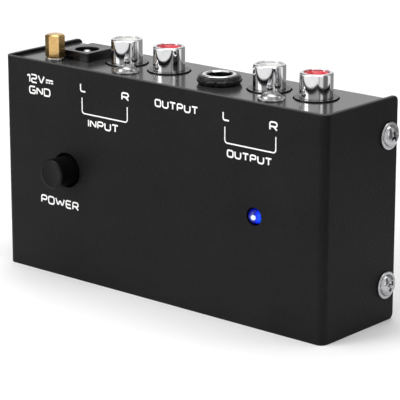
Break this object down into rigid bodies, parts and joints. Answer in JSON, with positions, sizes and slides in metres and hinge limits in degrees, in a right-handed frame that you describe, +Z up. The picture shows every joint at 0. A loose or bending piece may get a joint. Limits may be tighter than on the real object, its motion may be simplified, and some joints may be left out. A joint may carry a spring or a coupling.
{
  "type": "phono preamp",
  "caption": "Small box amplifier for a record player: folded steel case, phono sockets, phone socket, power socket, ground post, push switch and lamp.",
  "frame": {"origin": "bottom centre of the whole outline, on the surface that the case stands on", "axes": "+X along the label face to its right, +Y from the label face to the back plate, +Z up towards the sockets"},
  "size_m": [0.1106, 0.0358, 0.0631],
  "materials": {
    "black_paint": "fine satin powder coat",
    "black_panel": "semi-gloss black paint",
    "black_button": "matt moulded",
    "black_plastic": "satin moulded",
    "white_plastic": "moulded",
    "red_plastic": "moulded",
    "blue_lens": "clear moulded, lit",
    "chrome": "bright nickel plate",
    "zinc": "bright zinc plate",
    "spring_steel": "drawn wire",
    "tinned": "tinned",
    "brass": "bright turned",
    "rubber": "moulded",
    "board": "solder mask over glass laminate",
    "green_wire": "insulated wire",
    "can_sleeve": "shrunk sleeve",
    "film_case": "dipped",
    "resistor_body": "lacquered"
  },
  "bodies": {
    "root": {"cover": "black_paint", "chassis": "black_panel", "cover_screws": "zinc", "rubber_feet": "rubber", "circuit_board": "board", "board_standoffs": "zinc", "board_screws": "zinc", "power_switch_housing": "black_plastic", "power_switch_spring": "spring_steel", "power_switch_pins": "tinned", "led_lens": "blue_lens", "led_leads": "tinned", "led_spacer": "black_plastic", "input_jack_block": "black_plastic", "output_jack_block": "black_plastic", "jack_block_screws": "zinc", "phone_jack_body": "black_plastic", "phone_jack_ring": "chrome", "phone_jack_nut": "black_plastic", "phone_jack_sleeve_contact": "tinned", "phone_jack_tip_contact": "tinned", "dc_jack_housing": "black_plastic", "dc_jack_pin": "chrome", "dc_jack_spring": "tinned", "ground_stud": "zinc", "ground_lug": "tinned", "ground_wire": "green_wire", "op_amp_left": "black_plastic", "op_amp_right": "black_plastic", "electrolytic_capacitors": "can_sleeve", "film_capacitors": "film_case", "resistors": "resistor_body", "reverse_diode": "black_plastic", "voltage_regulator": "black_plastic", "input_left_shell": "chrome", "input_left_insulator": "white_plastic", "input_left_contact": "tinned", "input_right_shell": "chrome", "input_right_insulator": "red_plastic", "input_right_contact": "tinned", "output_left_shell": "chrome", "output_left_insulator": "white_plastic", "output_left_contact": "tinned", "output_right_shell": "chrome", "output_right_insulator": "red_plastic", "output_right_contact": "tinned"},
    "power_button": {"power_button_cap": "black_button", "power_switch_plunger": "black_plastic"},
    "ground_lift": {"ground_washer": "zinc"},
    "ground_turn": {"ground_nut": "brass"}
  },
  "joints": [
    {"name": "power_press", "type": "slide", "parent": "root", "child": "power_button", "axis": [0, 1, 0], "range_m": [0, 0.0025], "stiffness_N_per_m": 300, "springref_m": -0.001, "deforming": ["power_switch_spring"]},
    {"name": "ground_nut_turn", "type": "hinge", "parent": "ground_lift", "child": "ground_turn", "pos_m": [-0.0408, -0.0058, 0.0562], "axis": [0, 0, 1], "range_deg": [0, 1080]},
    {"name": "ground_nut_lift", "type": "slide", "parent": "root", "child": "ground_lift", "axis": [0, 0, 1], "range_m": [0, 0.0015]}
  ],
  "couplings": [
    {"joint": "ground_nut_turn", "follows": "ground_nut_lift", "rad_per_m": 12566}
  ]
}
